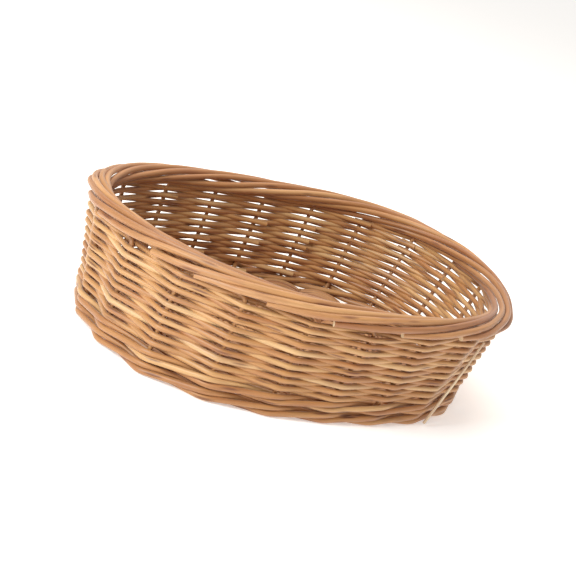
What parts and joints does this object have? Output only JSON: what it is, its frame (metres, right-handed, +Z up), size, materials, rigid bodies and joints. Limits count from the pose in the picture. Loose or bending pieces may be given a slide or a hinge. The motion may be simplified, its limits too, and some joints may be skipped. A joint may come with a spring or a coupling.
{
  "type": "woven fruit basket",
  "caption": "Open oval basket of woven willow rods with flared walls, a rolled rod border and a flat woven base, for fruit or bread.",
  "frame": {"origin": "on the surface that the basket stands on, under the middle of its overall length and width", "axes": "+X along the long way of the oval, +Y across it, +Z up out of the open mouth"},
  "size_m": [0.3794, 0.295, 0.1041],
  "materials": {
    "willow_base_sticks": "satin",
    "willow_base_weave": "satin",
    "willow_stakes": "satin",
    "willow_wale": "satin",
    "willow_weavers": "satin",
    "willow_splint": "satin"
  },
  "bodies": {
    "root": {"base_long_stick_1": "willow_base_sticks", "base_long_stick_2": "willow_base_sticks", "base_long_stick_3": "willow_base_sticks", "base_short_stick_1": "willow_base_sticks", "base_short_stick_2": "willow_base_sticks", "base_short_stick_3": "willow_base_sticks", "base_short_stick_4": "willow_base_sticks", "base_short_stick_5": "willow_base_sticks", "base_short_stick_6": "willow_base_sticks", "base_short_stick_7": "willow_base_sticks", "base_weave_band_1": "willow_base_weave", "base_weave_band_2": "willow_base_weave", "base_weave_band_3": "willow_base_weave", "base_weave_band_4": "willow_base_weave", "base_weave_band_5": "willow_base_weave", "outer_splint": "willow_splint", "stake_01": "willow_stakes", "stake_02": "willow_stakes", "stake_03": "willow_stakes", "stake_04": "willow_stakes", "stake_05": "willow_stakes", "stake_06": "willow_stakes", "stake_07": "willow_stakes", "stake_08": "willow_stakes", "stake_09": "willow_stakes", "stake_10": "willow_stakes", "stake_11": "willow_stakes", "stake_12": "willow_stakes", "stake_13": "willow_stakes", "stake_14": "willow_stakes", "stake_15": "willow_stakes", "stake_16": "willow_stakes", "stake_17": "willow_stakes", "stake_18": "willow_stakes", "stake_19": "willow_stakes", "stake_20": "willow_stakes", "wale_rod_1": "willow_wale", "wale_rod_2": "willow_wale", "wale_rod_3": "willow_wale", "weaver_row_01": "willow_weavers", "weaver_row_02": "willow_weavers", "weaver_row_03": "willow_weavers", "weaver_row_04": "willow_weavers", "weaver_row_05": "willow_weavers", "weaver_row_06": "willow_weavers", "weaver_row_07": "willow_weavers", "weaver_row_08": "willow_weavers", "weaver_row_09": "willow_weavers", "weaver_row_10": "willow_weavers", "weaver_row_11": "willow_weavers", "weaver_row_12": "willow_weavers", "weaver_row_13": "willow_weavers", "weaver_row_14": "willow_weavers", "weaver_row_15": "willow_weavers", "weaver_row_16": "willow_weavers", "weaver_row_17": "willow_weavers", "weaver_row_18": "willow_weavers", "weaver_row_19": "willow_weavers", "weaver_row_20": "willow_weavers"}
  },
  "joints": []
}
